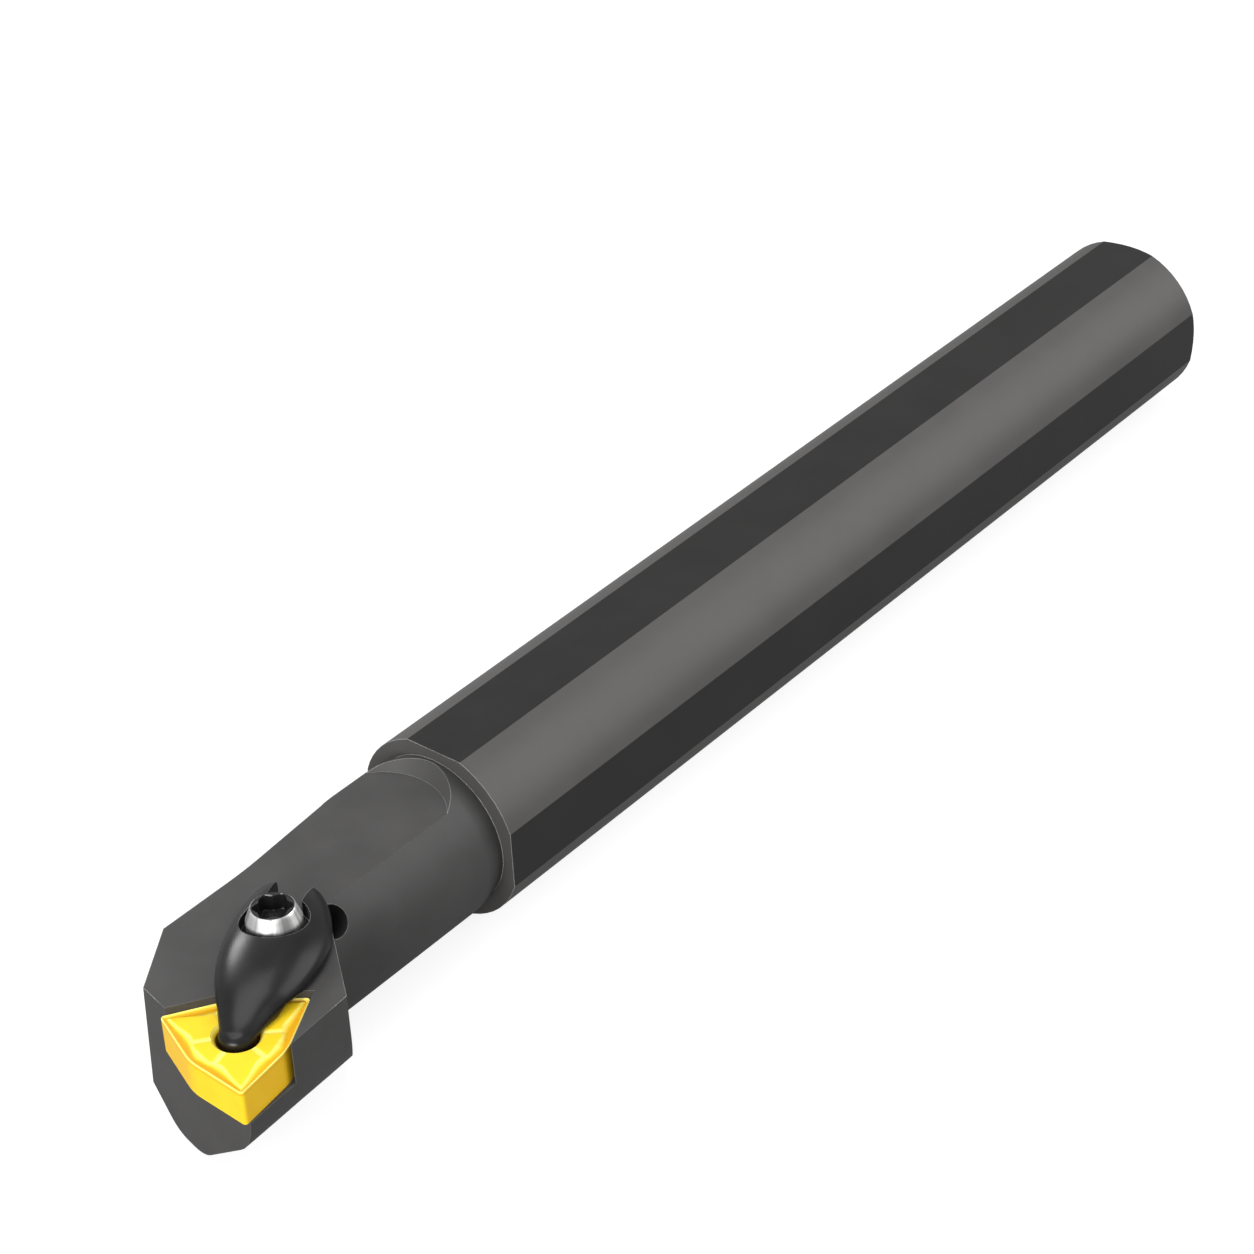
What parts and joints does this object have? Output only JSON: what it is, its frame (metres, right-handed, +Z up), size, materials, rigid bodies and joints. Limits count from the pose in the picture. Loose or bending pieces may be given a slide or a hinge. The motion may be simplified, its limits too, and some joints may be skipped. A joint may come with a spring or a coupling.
{
  "type": "boring bar",
  "caption": "Steel boring bar with a round shank and milled flats, a stepped neck, an eccentric head, a yellow trigon insert and a hooked top clamp held by a screw.",
  "frame": {"origin": "centre of the shank's rear end face, at the mouth of the coolant inlet", "axes": "+X along the shank out of its rear face, so the head lies towards -X; +Z up, square to the shank's top flat and the insert's rake face; -Y towards the cutting side"},
  "size_m": [0.2164, 0.0332, 0.0253],
  "materials": {
    "bar_steel": "satin",
    "insert_coating": "satin",
    "clamp_steel": "satin",
    "screw_steel": "polished",
    "spring_steel": "satin"
  },
  "bodies": {
    "bar": {"bar_body": "bar_steel", "insert": "insert_coating"},
    "clamp": {"clamp": "clamp_steel", "clamp_spring": "spring_steel"},
    "screw": {"clamp_screw": "screw_steel"}
  },
  "joints": [
    {"name": "clamp_lift", "type": "slide", "parent": "bar", "child": "clamp", "axis": [0, 0, 1], "range_m": [0, 0.003], "deforming": ["clamp_spring"]},
    {"name": "screw_turn", "type": "hinge", "parent": "clamp", "child": "screw", "pos_m": [-0.1958, -0.0069, 0.0085], "axis": [0, 0, 1], "range_deg": [0, 1543]}
  ],
  "couplings": [
    {"joint": "screw_turn", "follows": "clamp_lift", "rad_per_m": 8976}
  ]
}
